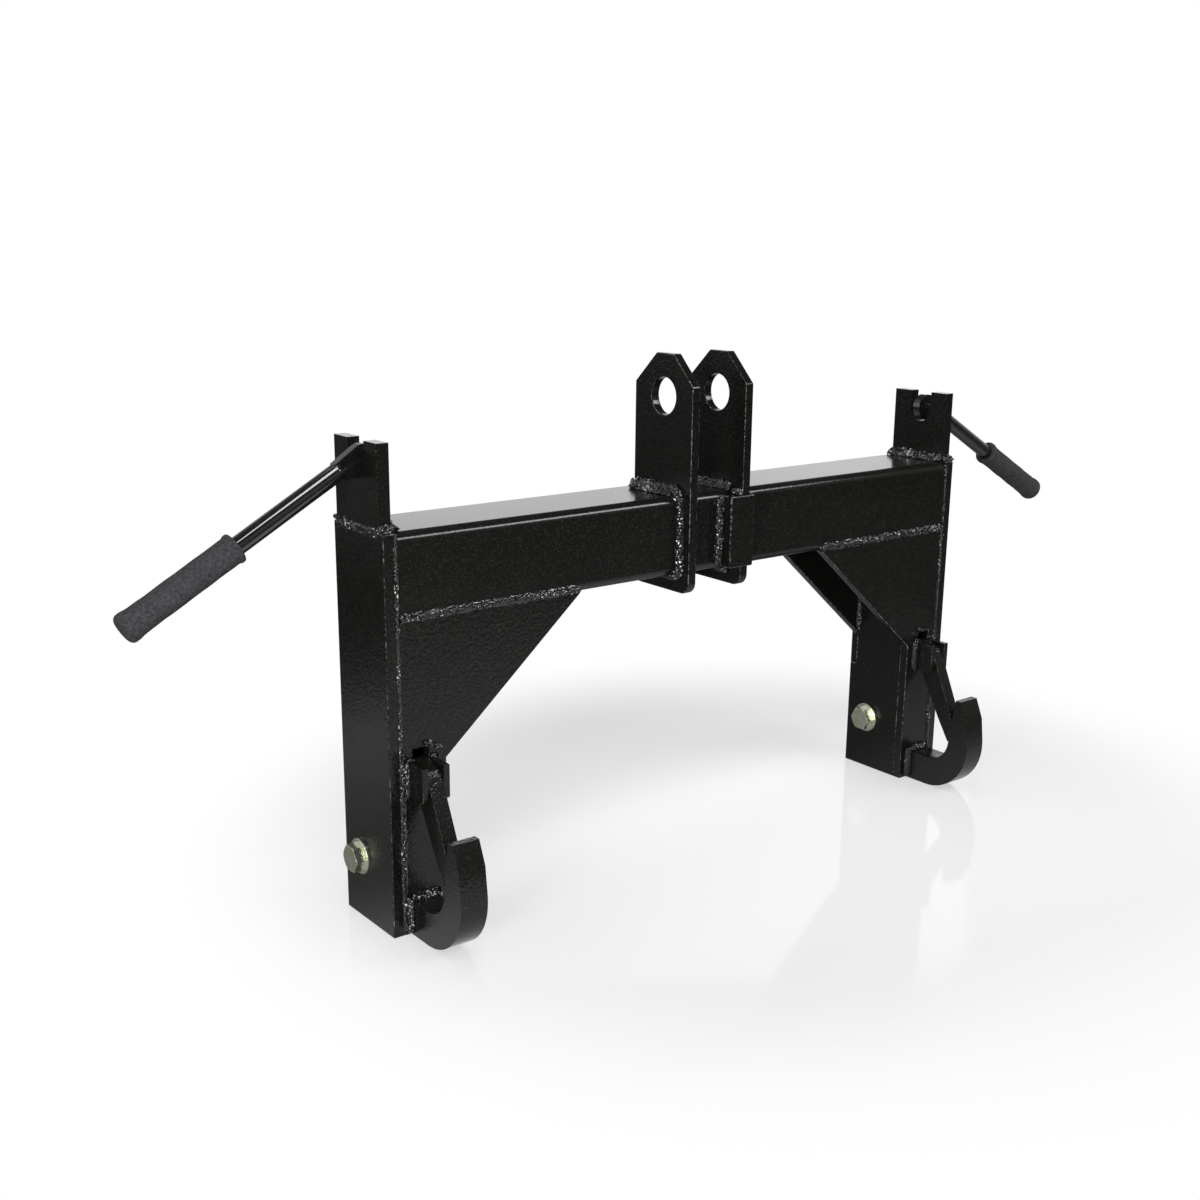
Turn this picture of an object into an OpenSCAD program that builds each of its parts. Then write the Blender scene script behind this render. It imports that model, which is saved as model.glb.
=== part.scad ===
// Three point quick hitch, category 1, in millimetres.
// +Z is up, +X to the right, and the hook side faces -Y.
// The origin is on the ground, under the middle of the hitch.

/* [Frame] */
// Width over the two outer plates
frame_w = 748; // [700:1:800]
// Depth of the beam and of the uprights, front to back
frame_d = 88; // [80:1:100]
// Height of the beam's top face and of the uprights
frame_h = 377; // [350:1:400]
// Height of the beam's tube
beam_h = 80; // [70:1:90]
// Outside radius of the beam's long edges
beam_r = 9; // [6:1:12]
// Wall of the beam's tube
beam_wall = 6; // [4:0.5:8]
// Thickness of the outer plates and of the notched plates
outer_t = 12; // [10:1:16]
// Thickness of the front and rear gusset plates
gusset_t = 10; // [6:1:12]
// Thickness of the inner side plates
inner_t = 8; // [6:1:10]
// Width of an upright, over its outer and inner plates
upright_w = 59; // [55:1:70]
// Height at which a gusset's slope meets the upright
gusset_low_z = 164; // [150:1:180]
// Distance from the frame's side to a gusset's tip at the beam
gusset_reach = 211; // [180:1:240]
// Height of the open pocket at the back of each upright
pocket_h = 125; // [115:1:140]

/* [Top clevis] */
// Clear gap between the two top plates
clevis_gap = 60; // [52:1:70]
// Thickness of a top plate
ear_t = 10; // [8:1:14]
// Height of the top plates' upper edge
ear_top_z = 515; // [500:1:530]
// Height of the top plates' lower edge
ear_low_z = 279; // [270:1:290]
// Distance that a top plate stands out in front of the beam
ear_front = 14; // [10:1:18]
// Width of a top plate, front to back
ear_w = 88; // [80:1:96]
// Diameter of the top link hole
top_hole_d = 37; // [36.5:0.1:38]
// Height of the top link hole
top_hole_z = 473.2; // [465:0.1:480]
// Width of the pad that is slotted over the right top plate
pad_w = 32; // [28:1:36]
// Thickness of that pad, front to back
pad_d = 17.5; // [16:0.5:20]

/* [Lower hooks] */
// Distance between the middles of the two hooks
hook_span = 683; // [670:1:690]
// Thickness of a hook
hook_t = 28; // [24:1:32]
// Radius of the hook's round back
hook_r = 57.4; // [55:0.1:60]
// Radius of the throat
throat_r = 28.6; // [26:0.1:30]
// Height of the throat's floor
throat_z = 33.4; // [30:0.1:36]
// Height of the hook's tip
tip_z = 112.5; // [105:0.5:118]

/* [Latches] */
// Thickness of a latch bar
latch_t = 15; // [12:1:15]
// Clear gap between the two latch guides
guide_gap = 16; // [16:0.5:17]
// Height of a latch's pivot
pivot_z = 152; // [150:1:155]
// Distance of a latch's pivot in front of the gusset plate
pivot_out = 15; // [14:1:16]
// Diameter of a latch's pivot pin
pivot_d = 8; // [6:1:8]
// Angle of a closed latch bar's front edge, from upright
latch_lean = 24.5; // [22:0.5:26]

/* [Release levers] */
// Angle by which a lever slopes down at rest
lever_slope = 29.6; // [25:0.1:35]
// Distance from a lever's pivot to the end of its grip
lever_len = 250; // [230:1:280]
// Diameter of the lever's rod
rod_d = 16.5; // [14:0.5:18]
// Height of the rod's middle line over the middle of its eye
rod_rise = 4.4; // [0:0.1:6]
// Diameter of the lever's flat eye
eye_d = 29.2; // [24:0.1:29.2]
// Thickness of the lever's flat eye
eye_t = 9; // [8:1:10]
// Length of a grip
grip_len = 115; // [100:1:130]
// Diameter of a grip
grip_d = 25.5; // [22:0.5:28]
// Height of the notched plates' upper edge
notch_top_z = 454.4; // [445:0.1:465]
// Width of the notch
notch_w = 29; // [28:1:32]
// Height of the notch's floor
notch_low_z = 420; // [415:1:422]

/* [Lower link bolts] */
// Height of the lower link bolts
bolt_z = 62.5; // [58:0.5:68]
// Distance of the lower link bolts behind the front of the frame
bolt_back = 57; // [52:1:60]
// Diameter of the bolts
bolt_d = 16; // [16:1:16]
// Outside diameter of the sleeve that the lower link's ball runs on
sleeve_d = 22.2; // [22:0.1:22.4]
// Width of the bolt's head and nut across their flats
hex_w = 24; // [24:1:24]
// Outside diameter of the washers
washer_d = 34; // [30:1:36]

/* [Hidden] */
$fn = 64;

half_w = frame_w / 2;
hook_reach = throat_r + hook_r - 0.1;
// The frame's front face stands here, so that the origin is under the middle of the whole hitch
front_y = (hook_reach - frame_d) / 2;
outer_x = half_w - outer_t;
inner_x = half_w - upright_w;
bore_x = inner_x + inner_t;
beam_low_z = frame_h - beam_h;
hook_x = hook_span / 2;
gusset_tip_x = half_w - gusset_reach;

paint = [0.10, 0.10, 0.11];
rod_black = [0.05, 0.05, 0.055];
foam = [0.16, 0.16, 0.165];
zinc = [0.78, 0.76, 0.66];
spring_steel = [0.45, 0.46, 0.48];

// Puts a part of the right side in place, or its mirror image on the left
module on_side(side) {
    mirror([side < 0 ? 1 : 0, 0, 0]) translate([0, front_y, 0]) children();
}

// A flat shape drawn as (distance from the middle, height), made into a plate that lies front to back
module face_plate(back, thickness) {
    translate([0, back + thickness, 0]) rotate([90, 0, 0]) linear_extrude(thickness) children();
}

// A flat shape drawn as (distance out in front, height), made into a plate across the hitch
module side_plate(x, thickness) {
    translate([x, 0, 0]) mirror([0, 1, 0]) rotate([90, 0, 90]) linear_extrude(thickness) children();
}

// A round bar or bore along X
module x_bar(x, length, d, back, z) {
    translate([x, back, z]) rotate([0, 90, 0]) cylinder(d = d, h = length);
}

// ---- frame ----

module rounded_box_2d(w, h, r) {
    union() {
        translate([r, 0]) square([w - 2 * r, h]);
        translate([0, r]) square([w, h - 2 * r]);
        for (x = [r, w - r], z = [r, h - r]) translate([x, z]) circle(r);
    }
}

module cross_beam() {
    color(paint) translate([-outer_x, front_y, beam_low_z]) rotate([90, 0, 90])
        linear_extrude(2 * outer_x) difference() {
            rounded_box_2d(frame_d, beam_h, beam_r);
            translate([beam_wall, beam_wall])
                rounded_box_2d(frame_d - 2 * beam_wall, beam_h - 2 * beam_wall, beam_r - beam_wall);
        }
}

module outer_plate(side) {
    color(paint) on_side(side) difference() {
        translate([outer_x, 0, 0]) cube([outer_t, frame_d, frame_h]);
        x_bar(outer_x - 1, outer_t + 2, bolt_d + 1, bolt_back, bolt_z);
    }
}

module gusset_2d(low_z) {
    polygon([
        [outer_x, low_z], [outer_x, beam_low_z], [gusset_tip_x, beam_low_z],
        [inner_x, gusset_low_z], [inner_x, low_z]]);
}

window_low_z = 149;
window_high_z = 179;

module front_gusset(side) {
    window_w = guide_gap + 1;
    color(paint) on_side(side) face_plate(0, gusset_t) difference() {
        gusset_2d(0);
        translate([hook_x - window_w / 2, window_low_z]) square([window_w, window_high_z - window_low_z]);
    }
}

module rear_gusset(side) {
    color(paint) on_side(side) face_plate(frame_d - gusset_t, gusset_t) gusset_2d(pocket_h);
}

module inner_plate(side) {
    color(paint) on_side(side) difference() {
        union() {
            translate([inner_x, gusset_t, 0]) cube([inner_t, frame_d - 2 * gusset_t, beam_low_z]);
            translate([inner_x, frame_d - gusset_t, 0]) cube([inner_t, gusset_t, pocket_h]);
        }
        x_bar(inner_x - 1, inner_t + 2, bolt_d + 1, bolt_back, bolt_z);
    }
}

notch_back = 43.5;
notch_plate_front = 7;
notch_plate_back = 82;
lever_back = 43;
lever_z = 436;
lever_x = half_w - outer_t / 2;
lever_pin_d = 8;

module notch_plate(side) {
    notch_low = notch_low_z + notch_w / 2;
    color(paint) on_side(side) difference() {
        translate([outer_x, notch_plate_front, frame_h])
            cube([outer_t, notch_plate_back - notch_plate_front, notch_top_z - frame_h]);
        x_bar(outer_x - 1, outer_t + 2, notch_w, notch_back, notch_low);
        translate([outer_x - 1, notch_back - notch_w / 2, notch_low]) cube([outer_t + 2, notch_w, 100]);
        lever_pin_shape(lever_pin_d);
    }
}

// ---- top clevis ----

ear_chamfer = 30;

module top_plate_2d() {
    back = ear_w - ear_front;
    difference() {
        polygon([
            [ear_front, ear_low_z], [ear_front, ear_top_z - ear_chamfer],
            [ear_front - ear_chamfer, ear_top_z], [ear_chamfer + 2 - back, ear_top_z],
            [-back, ear_top_z - ear_chamfer], [-back, ear_low_z]]);
        for (s = [0, 1]) translate([s == 0 ? ear_front : -back, ear_low_z]) corner_cut_2d(12, s == 0 ? 1 : -1);
        translate([-200, beam_low_z]) square([200 - beam_r, beam_h]);
        translate([-beam_r, beam_low_z + beam_r]) square([beam_r, beam_h - 2 * beam_r]);
        for (z = [beam_low_z + beam_r, frame_h - beam_r]) translate([-beam_r, z]) circle(beam_r);
        translate([ear_front - ear_w / 2, top_hole_z]) circle(d = top_hole_d);
    }
}

// What is cut away to round a lower corner; dir is 1 for a front corner and -1 for a back one
module corner_cut_2d(r, dir) {
    mirror([dir < 0 ? 1 : 0, 0]) difference() {
        translate([-r, -1]) square([r + 1, r + 1]);
        translate([-r, r]) circle(r);
    }
}

module top_plate(side) {
    color(paint) on_side(side) side_plate(clevis_gap / 2, ear_t) top_plate_2d();
}

pad_x = 12;

module hook_pad() {
    color(paint) on_side(1) difference() {
        translate([pad_x, -pad_d, beam_low_z + 3]) cube([pad_w, pad_d, beam_h - 6]);
        translate([clevis_gap / 2, -ear_front, beam_low_z]) cube([ear_t, ear_front + 1, beam_h]);
    }
}

// ---- lower hooks ----

tip_out = 73;
tip_in = 65.5;

module hook_2d() {
    round_x = throat_r;
    difference() {
        union() {
            square([round_x, throat_z]);
            intersection() {
                translate([round_x, hook_r]) circle(hook_r);
                translate([round_x, 0]) square([hook_r, hook_r]);
            }
            polygon([
                [throat_r, hook_r], [hook_reach, hook_r], [hook_reach, hook_r + 5],
                [82.5, hook_r + 33], [tip_out, tip_z], [tip_in, tip_z], [throat_r, hook_r + 4]]);
        }
        translate([throat_r + 1.4, throat_z + throat_r]) circle(throat_r);
        polygon([
            [-1, throat_z], [throat_r + 1.4, throat_z], [2 * throat_r + 1.4, throat_z + throat_r],
            [tip_in, tip_z], [tip_in, tip_z + 9], [-1, tip_z + 9]]);
    }
}

module lower_hook(side) {
    color(paint) on_side(side) side_plate(hook_x - hook_t / 2, hook_t) hook_2d();
}

// ---- latches ----

guide_low_z = 135;
guide_high_z = 168;
guide_out = 26;

module latch_guides(side) {
    guide_t = (hook_t - guide_gap) / 2;
    color(paint) on_side(side) for (x = [hook_x - hook_t / 2, hook_x + guide_gap / 2])
        side_plate(x, guide_t) difference() {
            translate([0, guide_low_z]) square([guide_out, guide_high_z - guide_low_z]);
            translate([guide_out, guide_low_z]) corner_cut_2d(4, 1);
            translate([pivot_out, pivot_z]) circle(d = pivot_d);
        }
}

module latch_pin(side) {
    color(paint) on_side(side) x_bar(hook_x - hook_t / 2, hook_t, pivot_d, -pivot_out, pivot_z);
}

// How far out the closed latch bar's front edge is at height z
latch_edge = 9.5;
function latch_front(z) = pivot_out + latch_edge / cos(latch_lean) + (pivot_z - z) * tan(latch_lean);

arm_low_z = pivot_z + 6.5;
pivot_clearance = 0.1;

module latch_bar(side) {
    meet_z = 77;
    color(paint) on_side(side) side_plate(hook_x - latch_t / 2, latch_t) difference() {
        polygon([
            [latch_front(arm_low_z), arm_low_z], [latch_front(meet_z), meet_z], [58.3, 66], [56.5, 61],
            [52, 58], [36, 83], [24, 104], [12, 126], [4, 142], [4, arm_low_z]]);
        translate([pivot_out, pivot_z]) circle(d = pivot_d + pivot_clearance);
    }
}

spring_back = 28;
spring_low_z = pivot_z + 10;
seat_z = spring_low_z + 44;
spigot_d = 10;

module latch_arm(side) {
    color(paint) on_side(side) {
        side_plate(hook_x - latch_t / 2, latch_t) polygon([
            [22, arm_low_z], [20, arm_low_z + 4], [2, arm_low_z + 10], [-6, arm_low_z + 10],
            [-12, spring_low_z], [-38, spring_low_z], [-38, spring_low_z - 12], [-10, arm_low_z - 4],
            [-4, arm_low_z]]);
        translate([hook_x, spring_back, spring_low_z - 3]) cylinder(d = spigot_d, h = 7);
    }
}

module spring_seat(side) {
    seat_w = 22;
    color(paint) on_side(side) {
        translate([bore_x, spring_back - seat_w / 2, seat_z]) cube([outer_x - bore_x, seat_w, 6]);
        translate([hook_x, spring_back, seat_z - 6]) cylinder(d = spigot_d, h = 9);
    }
}

wire_d = 1.6;
coil_r = 6.5;
coil_turns = 9;
coil_steps = 16;
wire_sides = 6;
coil_len = seat_z - spring_low_z - wire_d - 0.2;

// A point of the spring's coil at t turns, with a flat turn at each end
function coil_rise(t) = min(max(t - 0.75, 0), coil_turns - 1.5) / (coil_turns - 1.5) * coil_len;

// Ring of points round the wire at t turns
function wire_ring(t) = [
    for (k = [0:wire_sides - 1])
        let (a = 360 * k / wire_sides, r = coil_r + wire_d / 2 * cos(a))
        [r * cos(360 * t), r * sin(360 * t), coil_rise(t) + t * 0.01 + wire_d / 2 * sin(a)]];

module latch_spring(side) {
    rings = coil_turns * coil_steps;
    points = [for (i = [0:rings]) each wire_ring(i / coil_steps)];
    sides = [
        for (i = [0:rings - 1], k = [0:wire_sides - 1])
            let (a = i * wire_sides, b = a + wire_sides, n = (k + 1) % wire_sides)
            [a + k, b + k, b + n, a + n]];
    caps = [
        [for (k = [0:wire_sides - 1]) k],
        [for (k = [wire_sides - 1:-1:0]) rings * wire_sides + k]];
    color(spring_steel) on_side(side) translate([hook_x, spring_back, spring_low_z + wire_d / 2 + 0.05])
        polyhedron(points, concat(sides, caps), convexity = 8);
}

// ---- release levers ----

module lever_pin_shape(d) {
    translate([lever_x, notch_plate_front + 2, lever_z]) rotate([-90, 0, 0])
        cylinder(d = d, h = notch_plate_back - notch_plate_front - 2);
}

module lever_pin(side) {
    color(paint) on_side(side) lever_pin_shape(lever_pin_d);
}

// Puts a shape that points along +X from the pivot onto the resting lever
module along_lever(side) {
    on_side(side) translate([lever_x, lever_back, lever_z]) rotate([0, lever_slope, 0]) children();
}

neck_len = 26;
cone_len = 10;

module lever_rod(side) {
    color(rod_black) along_lever(side) difference() {
        union() {
            translate([0, -eye_t / 2, 0]) rotate([-90, 0, 0]) cylinder(d = eye_d, h = eye_t);
            translate([0, eye_t / 2, 0]) rotate([90, 0, 0]) linear_extrude(eye_t)
                polygon([
                    [0, eye_d / 2], [neck_len, rod_rise + rod_d / 2],
                    [neck_len, rod_rise - rod_d / 2], [0, -eye_d / 2]]);
            translate([0, 0, rod_rise]) rotate([0, 90, 0]) {
                translate([0, 0, neck_len - cone_len]) cylinder(d1 = eye_t - 1, d2 = rod_d, h = cone_len);
                translate([0, 0, neck_len]) cylinder(d = rod_d, h = lever_len - neck_len - 5);
            }
        }
        translate([0, -eye_t, 0]) rotate([-90, 0, 0])
            cylinder(d = lever_pin_d + pivot_clearance, h = 2 * eye_t);
    }
}

module lever_grip(side) {
    start = lever_len - grip_len;
    lip_r = grip_d / 2 + 1.2;
    end_r = grip_d / 2 + 1;
    fillet = 4;
    color(foam) along_lever(side) translate([0, 0, rod_rise]) rotate([0, 90, 0]) difference() {
        rotate_extrude() {
            translate([0, start]) square([grip_d / 2, grip_len - 12]);
            translate([0, start]) square([lip_r - 1, 5]);
            translate([0, start + 1]) square([lip_r, 3]);
            for (z = [start + 1, start + 4]) translate([lip_r - 1, z]) circle(1);
            polygon([
                [0, lever_len - 30], [grip_d / 2, lever_len - 30], [end_r, lever_len - 12],
                [end_r, lever_len - fillet], [end_r - fillet, lever_len], [0, lever_len]]);
            translate([end_r - fillet, lever_len - fillet]) circle(fillet);
        }
        translate([0, 0, start - 1]) cylinder(d = rod_d, h = grip_len - 4);
    }
}

// ---- lower link bolts ----

washer_t = 3;
head_t = 10;
nut_t = 13;
// The bolt's head faces -X on both sides of the hitch: outwards on the left, inwards on the right
function head_outside(side) = side < 0;

module hex(x, length) {
    translate([x, bolt_back, bolt_z]) rotate([0, 90, 0]) rotate([0, 0, 30])
        cylinder(d = hex_w / cos(30), h = length, $fn = 6);
}

module lift_bolt(side) {
    sunk = head_t / 2;
    shank = upright_w + 2 * washer_t + nut_t + 4 + sunk;
    head_x = head_outside(side) ? half_w + washer_t : inner_x - washer_t - head_t;
    shank_x = head_outside(side) ? half_w + washer_t + sunk - shank : inner_x - washer_t - sunk;
    color(zinc) on_side(side) {
        intersection() {
            hex(head_x, head_t);
            head_dome(side, head_x);
        }
        x_bar(shank_x, shank, bolt_d, bolt_back, bolt_z);
    }
}

// The turned chamfer on the outer end of a bolt's head
module head_dome(side, head_x) {
    flip = head_outside(side);
    translate([head_x, bolt_back, bolt_z]) rotate([0, 90, 0]) {
        cylinder(d1 = flip ? 40 : hex_w - 1, d2 = flip ? 40 : hex_w + 27, h = head_t * 0.5);
        translate([0, 0, head_t * 0.5])
            cylinder(d1 = flip ? hex_w + 27 : 40, d2 = flip ? hex_w - 1 : 40, h = head_t * 0.5);
    }
}

module lift_nut(side) {
    nut_x = head_outside(side) ? inner_x - washer_t - nut_t : half_w + washer_t;
    color(zinc) on_side(side) difference() {
        hex(nut_x, nut_t);
        x_bar(nut_x - 1, nut_t + 2, bolt_d + 0.2, bolt_back, bolt_z);
    }
}

module lift_washers(side) {
    color(zinc) on_side(side) for (x = [inner_x - washer_t, half_w]) difference() {
        x_bar(x, washer_t, washer_d, bolt_back, bolt_z);
        x_bar(x - 1, washer_t + 2, bolt_d + 1, bolt_back, bolt_z);
    }
}

module lift_sleeve(side) {
    color(zinc) on_side(side) difference() {
        x_bar(bore_x, outer_x - bore_x, sleeve_d, bolt_back, bolt_z);
        x_bar(bore_x - 1, outer_x - bore_x + 2, bolt_d + 0.4, bolt_back, bolt_z);
    }
}

cross_beam();
outer_plate(-1);  // outer_plate_left
outer_plate(1);  // outer_plate_right
front_gusset(-1);  // front_gusset_left
front_gusset(1);  // front_gusset_right
rear_gusset(-1);  // rear_gusset_left
rear_gusset(1);  // rear_gusset_right
inner_plate(-1);  // inner_plate_left
inner_plate(1);  // inner_plate_right
notch_plate(-1);  // notch_plate_left
notch_plate(1);  // notch_plate_right
top_plate(-1);  // top_plate_left
top_plate(1);  // top_plate_right
hook_pad();
lower_hook(-1);  // lower_hook_left
lower_hook(1);  // lower_hook_right
latch_guides(-1);  // latch_guides_left
latch_guides(1);  // latch_guides_right
latch_pin(-1);  // latch_pin_left
latch_pin(1);  // latch_pin_right
spring_seat(-1);  // spring_seat_left
spring_seat(1);  // spring_seat_right
lift_bolt(-1);  // lift_bolt_left
lift_bolt(1);  // lift_bolt_right
lift_nut(-1);  // lift_nut_left
lift_nut(1);  // lift_nut_right
lift_washers(-1);  // lift_washers_left
lift_washers(1);  // lift_washers_right
lift_sleeve(-1);  // lift_sleeve_left
lift_sleeve(1);  // lift_sleeve_right
lever_pin(-1);  // lever_pin_left
lever_pin(1);  // lever_pin_right
latch_bar(-1);  // latch_bar_left
latch_bar(1);  // latch_bar_right
latch_arm(-1);  // latch_arm_left
latch_arm(1);  // latch_arm_right
latch_spring(-1);  // latch_spring_left
latch_spring(1);  // latch_spring_right
lever_rod(-1);  // lever_rod_left
lever_rod(1);  // lever_rod_right
lever_grip(-1);  // lever_grip_left
lever_grip(1);  // lever_grip_right
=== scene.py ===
"""Three point quick hitch: paint, welds, grips and fittings on the packed frame."""

import math

import bmesh
import bpy
import numpy as np
from mathutils import Matrix, Vector, noise


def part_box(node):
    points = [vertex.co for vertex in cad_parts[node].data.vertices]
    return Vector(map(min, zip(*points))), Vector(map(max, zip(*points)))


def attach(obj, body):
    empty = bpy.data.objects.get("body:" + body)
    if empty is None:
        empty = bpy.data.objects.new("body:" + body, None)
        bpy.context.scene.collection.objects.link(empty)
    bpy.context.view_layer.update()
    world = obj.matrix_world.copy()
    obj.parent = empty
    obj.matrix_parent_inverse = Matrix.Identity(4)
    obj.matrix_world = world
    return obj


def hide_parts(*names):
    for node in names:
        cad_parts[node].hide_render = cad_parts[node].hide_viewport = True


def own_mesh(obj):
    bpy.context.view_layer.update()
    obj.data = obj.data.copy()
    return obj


bl_info = {
    "name": "Three point quick hitch",
    "version": (1, 0, 0),
    "blender": (4, 5, 0),
    "location": "View3D > Sidebar > Quick hitch",
    "description": "Finishes a quick hitch: plates, weld seams, levers, latches, bolts, stage",
    "category": "Add Mesh",
}

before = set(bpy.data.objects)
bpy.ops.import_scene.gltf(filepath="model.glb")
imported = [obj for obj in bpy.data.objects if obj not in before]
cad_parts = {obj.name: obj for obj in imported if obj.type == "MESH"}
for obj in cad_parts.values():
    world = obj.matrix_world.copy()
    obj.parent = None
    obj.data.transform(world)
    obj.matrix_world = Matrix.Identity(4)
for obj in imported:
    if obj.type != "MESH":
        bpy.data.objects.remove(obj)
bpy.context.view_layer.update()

SIDES = {"left": -1, "right": 1}
MM = 0.001
EDGE_MARK = "edge"  # vertex attribute that says where an edge was rounded

# heights on the frame that the welds follow
LEG_TOP = 170 * MM  # an upright's straight leg, below the gusset's slope
THROAT = 33.4 * MM  # the floor of a lower hook's mouth

# how the welds are laid
BEAD_STEP = 2.2 * MM  # from one section of a bead to the next
BEAD_ARC = 7  # vertices across a bead
BEAD_SINK = 0.12 * MM  # how far a bead's toes lie under the surface
FLAT_BEAD_DEPTH = 1.2 * MM  # how far a bead on a joint reaches into it
PATH_STEP = 4 * MM  # from point to point of the paths that ripples follow
DROPS_TO_RIPPLES = 0.62  # pitch of the drops, as a share of the ripples'


# ---- sizes and colours ----


def length(name, description, default, low, high):
    """A length that the user may change."""
    limits = {"min": low, "max": high, "precision": 4, "subtype": "DISTANCE", "unit": "LENGTH"}
    return bpy.props.FloatProperty(name=name, description=description, default=default, **limits)


def share(name, description, default, low=0.0, high=1.0):
    """A plain share or strength."""
    limits = {"min": low, "max": high}
    return bpy.props.FloatProperty(name=name, description=description, default=default, **limits)


def power(name, description, default):
    """A lamp's power."""
    limits = {"min": 0, "max": 200, "unit": "POWER"}
    return bpy.props.FloatProperty(name=name, description=description, default=default, **limits)


def colour(name, description, default):
    """A finish colour."""
    limits = {"min": 0, "max": 1, "size": 3, "subtype": "COLOR"}
    return bpy.props.FloatVectorProperty(name=name, description=description, default=default, **limits)


class HitchSizes(bpy.types.PropertyGroup):
    """Sizes that the frame leaves open."""

    plate_edge: length("Plate edge", "Radius on the plates' edges", 1.1 * MM, 0.1 * MM, 3 * MM)
    fitting_edge: length("Fitting edge", "Radius on the fittings' edges", 0.35 * MM, 0.05 * MM, 1 * MM)
    ripple_pitch: length("Ripple pitch", "From one weld ripple to the next", 3.3 * MM, 1 * MM, 8 * MM)
    ripple_height: share("Ripple height", "Height of a ripple, as a share of its bead", 1.15, 0.5, 2)
    spatter: share("Weld spatter", "Size of the small drops on a bead, as a share of it", 0.34)
    spring_wire: length("Spring wire", "Diameter of the springs' wire", 1.6 * MM, 1 * MM, 2 * MM)
    spring_turns: bpy.props.IntProperty(name="Spring turns", default=9, min=4, max=14)
    thread_pitch: length("Thread pitch", "Pitch of the bolts' thread", 2 * MM, 1 * MM, 3 * MM)
    foam_pit: length("Foam pit", "From one pit of the foam to the next", 0.9 * MM, 0.3 * MM, 3 * MM)


class HitchColours(bpy.types.PropertyGroup):
    """Colours of the finishes and the light."""

    paint: colour("Frame paint", "Powder coat of the frame", (0.0044, 0.0042, 0.0037))
    # partly a painted highlight: this pale colour on edges and weld tops also stands in for glints, not
    # only for rubbed steel
    rubbed: colour("Rubbed edge", "Bare steel where an edge is rubbed", (0.2, 0.19, 0.185))
    rod: colour("Lever paint", "Gloss paint of the levers", (0.006, 0.006, 0.0065))
    foam: colour("Grip foam", "Foam of the grips", (0.032, 0.032, 0.0345))
    zinc: colour("Zinc plate", "Zinc plate of the bolts", (0.70, 0.74, 0.66))
    zinc_tint: colour("Zinc tint", "Yellow film on the zinc plate", (0.60, 0.62, 0.44))
    spring: colour("Spring wire", "Oiled wire of the latch springs", (0.26, 0.26, 0.27))
    floor: colour("Floor", "Studio floor", (0.62, 0.62, 0.62))
    key_light: power("Key light", "Power of the key light", 38)
    top_light: power("Top light", "Power of the light overhead", 17)
    side_light: power("Side light", "Power of the small light at the left", 18)
    edge_light: power("Edge light", "Power of the low light in front of the left end", 30)
    rim_light: power("Rim light", "Power of the light behind the right end", 2.6)
    back_light: power("Back light", "Power of the light behind the left end", 4)
    room_light: share("Room light", "Strength of the light from all round", 0.14, 0, 2)


def sizes():
    return bpy.context.scene.hitch_sizes


def colours():
    return bpy.context.scene.hitch_colours


# ---- node graphs ----


class Value:
    """A socket that can be used in plain sums."""

    def __init__(self, graph, socket):
        self.graph = graph
        self.socket = socket

    def _sum(self, operation, first, second):
        return self.graph.node("ShaderNodeMath", {"operation": operation}, {0: first, 1: second})

    def __add__(self, other):
        return self._sum("ADD", self, other)

    def __radd__(self, other):
        return self._sum("ADD", other, self)

    def __sub__(self, other):
        return self._sum("SUBTRACT", self, other)

    def __rsub__(self, other):
        return self._sum("SUBTRACT", other, self)

    def __mul__(self, other):
        return self._sum("MULTIPLY", self, other)

    def __rmul__(self, other):
        return self._sum("MULTIPLY", other, self)


class Graph:
    """A finish, a world or a geometry tree, made node by node."""

    def __init__(self, tree):
        self.tree = tree
        tree.nodes.clear()

    def node(self, kind, settings=None, inputs=None, output=0):
        """Adds a node: its settings first, then its sockets' values or links."""
        made = self.tree.nodes.new(kind)
        for name, value in (settings or {}).items():
            setattr(made, name, value)
        for key, value in (inputs or {}).items():
            if isinstance(value, Value):
                self.tree.links.new(value.socket, made.inputs[key])
            else:
                made.inputs[key].default_value = value
        return Value(self, made.outputs[output] if made.outputs else None)

    def blend(self, amount, first, second):
        """Mixes two colours."""
        return self.node(
            "ShaderNodeMix",
            {"data_type": "RGBA"},
            {
                0: amount,
                6: first if isinstance(first, Value) else (*first, 1),
                7: second if isinstance(second, Value) else (*second, 1),
            },
            2,
        )

    def vector(self, operation, first, second):
        """A sum of vectors, or a vector made longer or shorter."""
        inputs = {0: first, "Scale" if operation == "SCALE" else 1: second}
        return self.node("ShaderNodeVectorMath", {"operation": operation}, inputs)

    def distance(self, place, point):
        """How far a place is from a point."""
        between = self.vector("SUBTRACT", place, point)
        return self.node("ShaderNodeVectorMath", {"operation": "LENGTH"}, {0: between}, 1)

    def axis(self, vector, index):
        """One axis of a vector: 0 for x, 1 for y, 2 for z."""
        return self.node("ShaderNodeSeparateXYZ", None, {0: vector}, index)

    def rays(self):
        """Whether a ray comes straight from the camera, and whether it was mirrored or refracted."""
        path = self.node("ShaderNodeLightPath").socket.node.outputs
        camera, glossy, refracted = (
            Value(self, path[f"Is {kind} Ray"]) for kind in ("Camera", "Glossy", "Transmission")
        )
        return camera, glossy + refracted

    def spread(self, value, low, high, to_low=0.0, to_high=1.0):
        """Moves a range of values onto another, smoothly."""
        return self.node(
            "ShaderNodeMapRange",
            {"interpolation_type": "SMOOTHSTEP"},
            {0: value, 1: low, 2: high, 3: to_low, 4: to_high},
        )


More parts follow.
